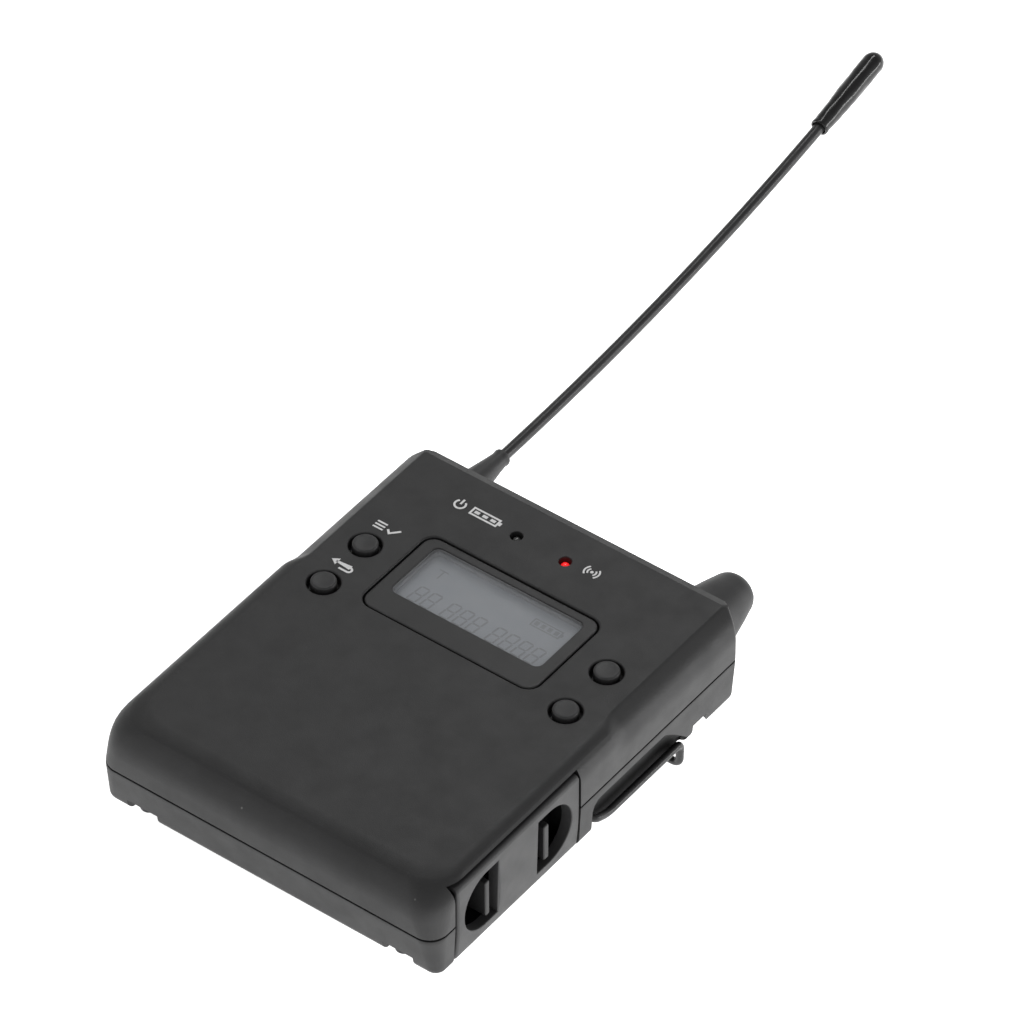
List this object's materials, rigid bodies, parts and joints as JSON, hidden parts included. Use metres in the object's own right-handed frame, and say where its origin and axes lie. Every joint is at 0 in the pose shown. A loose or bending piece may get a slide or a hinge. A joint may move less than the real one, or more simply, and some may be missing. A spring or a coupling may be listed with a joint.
{
  "type": "wireless bodypack transmitter",
  "caption": "Flat belt-worn radio pack with a display, push buttons, whip antenna, volume knob, slide-out battery drawer and a wire belt clip.",
  "frame": {"origin": "centre of the flat rear face of the rear cover", "axes": "+X to the right of the display, +Y towards the antenna end, +Z out of the front face"},
  "size_m": [0.068, 0.2083, 0.0255],
  "materials": {
    "case_plastic": "fine spark-textured black plastic",
    "bezel_plastic": "smoother black plastic around the display",
    "inner_plastic": "plain black plastic",
    "window": "clear acrylic",
    "lcd": "grey-blue liquid crystal panel",
    "backlight": "white diffuser",
    "circuit_board": "green solder mask",
    "nickel": "nickel plate",
    "black_screw": "black oxide steel",
    "tinned_steel": "tinned steel",
    "clear_led": "unlit clear lens",
    "red_led": "lit red lens",
    "button_plastic": "satin black plastic",
    "knob_plastic": "matt black, soft to the touch",
    "boot_rubber": "moulded black rubber",
    "whip_jacket": "semi-gloss black jacket",
    "heat_shrink": "glossy black heat-shrink sleeve",
    "brass": "turned brass",
    "cell_wrap": "plain printed film on a steel can",
    "black_wire": "satin black spring steel"
  },
  "bodies": {
    "case": {"antenna_boot": "boot_rubber", "antenna_ferrule": "brass", "antenna_tip_sleeve": "heat_shrink", "antenna_whip": "whip_jacket", "audio_jack": "inner_plastic", "board_screw_1": "nickel", "board_screw_2": "nickel", "board_screw_3": "nickel", "board_screw_4": "nickel", "case_screw_1": "black_screw", "case_screw_2": "black_screw", "case_screw_3": "black_screw", "case_screw_4": "black_screw", "contact_board": "circuit_board", "contact_leaf_lower": "nickel", "contact_leaf_upper": "nickel", "display_bezel": "bezel_plastic", "display_window": "window", "front_cover": "case_plastic", "jack_nut": "nickel", "lcd_backlight": "backlight", "lcd_panel": "lcd", "main_board": "circuit_board", "pot_nut": "nickel", "power_led": "clear_led", "rear_cover": "case_plastic", "rf_led": "red_led", "rf_shield": "tinned_steel", "switch_back": "tinned_steel", "switch_down": "tinned_steel", "switch_set": "tinned_steel", "switch_up": "tinned_steel", "volume_pot": "tinned_steel"},
    "button_set_body": {"button_set": "button_plastic"},
    "button_back_body": {"button_back": "button_plastic"},
    "button_up_body": {"button_up": "button_plastic"},
    "button_down_body": {"button_down": "button_plastic"},
    "knob": {"volume_knob": "knob_plastic", "pot_shaft": "nickel"},
    "belt_clip": {"belt_clip_wire": "black_wire"},
    "drawer": {"battery_drawer": "case_plastic", "battery_cell_lower": "cell_wrap", "battery_cell_upper": "cell_wrap", "cell_link_strip": "nickel", "latch_retainer": "inner_plastic", "latch_spring_lower": "nickel", "latch_spring_upper": "nickel"},
    "latch_lower_body": {"latch_lower": "case_plastic"},
    "latch_upper_body": {"latch_upper": "case_plastic"}
  },
  "joints": [
    {"name": "button_set_press", "type": "slide", "parent": "case", "child": "button_set_body", "axis": [0, 0, -1], "range_m": [0, 0.0005], "stiffness_N_per_m": 400},
    {"name": "button_back_press", "type": "slide", "parent": "case", "child": "button_back_body", "axis": [0, 0, -1], "range_m": [0, 0.0005], "stiffness_N_per_m": 400},
    {"name": "button_up_press", "type": "slide", "parent": "case", "child": "button_up_body", "axis": [0, 0, -1], "range_m": [0, 0.0005], "stiffness_N_per_m": 400},
    {"name": "button_down_press", "type": "slide", "parent": "case", "child": "button_down_body", "axis": [0, 0, -1], "range_m": [0, 0.0005], "stiffness_N_per_m": 400},
    {"name": "volume_turn", "type": "hinge", "parent": "case", "child": "knob", "pos_m": [0.0244, 0.0415, 0.0093], "axis": [0, 1, 0], "range_deg": [0, 300]},
    {"name": "belt_clip_swing", "type": "hinge", "parent": "case", "child": "belt_clip", "pos_m": [0, 0.0017, 0.0021], "axis": [-1, 0, 0], "range_deg": [0, 25], "stiffness_Nm_per_rad": 0.6},
    {"name": "drawer_slide", "type": "slide", "parent": "case", "child": "drawer", "axis": [1, 0, 0], "range_m": [0, 0.056]},
    {"name": "latch_lower_pinch", "type": "slide", "parent": "drawer", "child": "latch_lower_body", "axis": [0, 1, 0], "range_m": [0, 0.0015], "stiffness_N_per_m": 600},
    {"name": "latch_upper_pinch", "type": "slide", "parent": "drawer", "child": "latch_upper_body", "axis": [0, -1, 0], "range_m": [0, 0.0015], "stiffness_N_per_m": 600}
  ]
}
